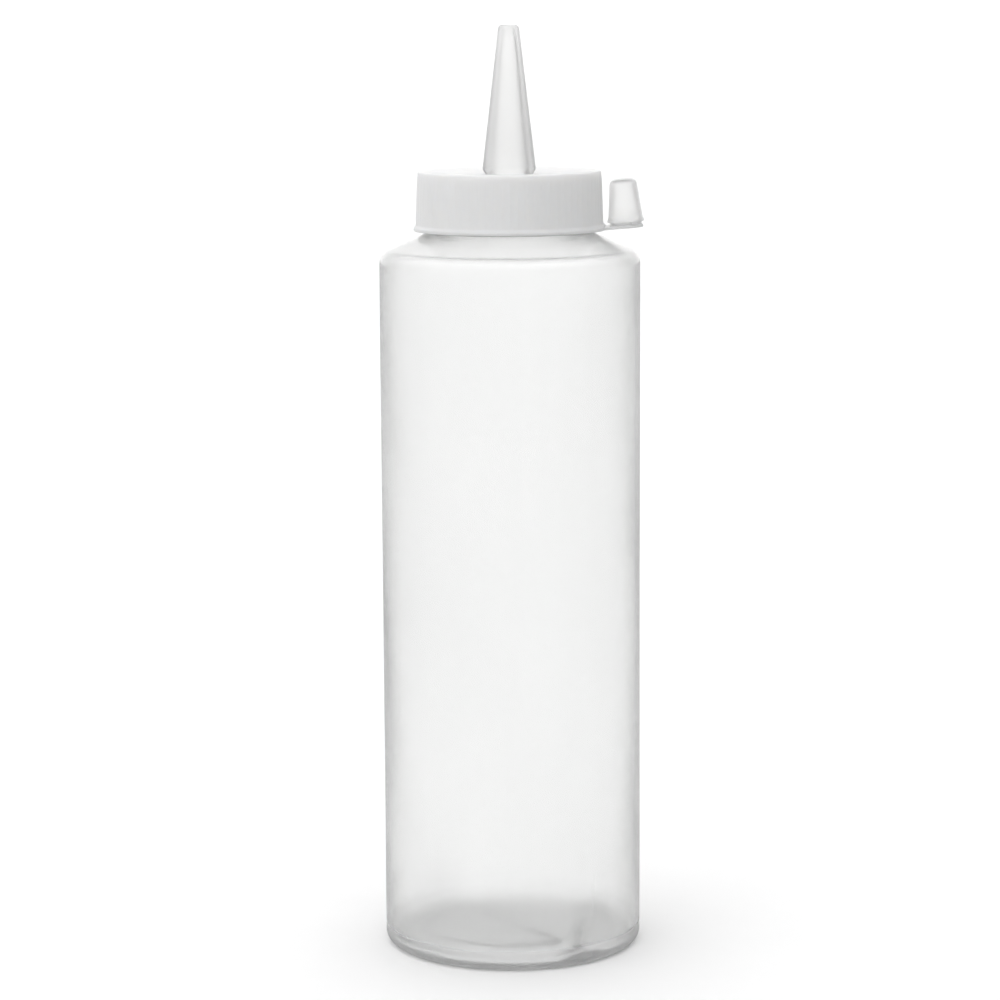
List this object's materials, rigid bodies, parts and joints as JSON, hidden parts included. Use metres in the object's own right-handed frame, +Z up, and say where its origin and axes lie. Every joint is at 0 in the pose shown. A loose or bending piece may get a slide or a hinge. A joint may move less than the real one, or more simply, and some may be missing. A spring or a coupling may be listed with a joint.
{
  "type": "condiment squeeze bottle",
  "caption": "Translucent squeeze bottle for sauces, with a screw cap, a tapered nozzle and a small tip cap parked on the cap's side tab.",
  "frame": {"origin": "centre of the bottle's standing ring, on the surface that it stands on", "axes": "+Z up along the bottle's axis towards the nozzle, +X along the cap's tab towards the parked tip cap"},
  "size_m": [0.0583, 0.0574, 0.205],
  "materials": {
    "bottle_plastic": "natural low-density polyethylene, blow moulded, milky and translucent, satin",
    "cap_plastic": "natural polyethylene, injection moulded, milky white, nearly opaque, satin",
    "nozzle_plastic": "natural polyethylene, injection moulded, milky and translucent, satin",
    "tip_plastic": "natural polyethylene, injection moulded, milky and translucent, satin",
    "seal_foam": "white foamed polyethylene, fine closed cells, soft"
  },
  "bodies": {
    "bottle": {"bottle": "bottle_plastic"},
    "seal": {"seal_ring": "seal_foam"},
    "cap": {"screw_cap": "cap_plastic", "nozzle": "nozzle_plastic"},
    "tip": {"tip_cap": "tip_plastic"}
  },
  "joints": [
    {"name": "cap_rise", "type": "slide", "parent": "bottle", "child": "seal", "axis": [0, 0, 1], "range_m": [0, 0.0128]},
    {"name": "cap_turn", "type": "hinge", "parent": "seal", "child": "cap", "pos_m": [0, 0, 0.1603], "axis": [0, 0, 1], "range_deg": [0, 1080]},
    {"name": "tip_cap_lift", "type": "slide", "parent": "cap", "child": "tip", "axis": [-0.0698, 0, 0.9976], "range_m": [0, 0.012]}
  ],
  "couplings": [
    {"joint": "cap_rise", "follows": "cap_turn", "m_per_rad": 0.00067375}
  ]
}
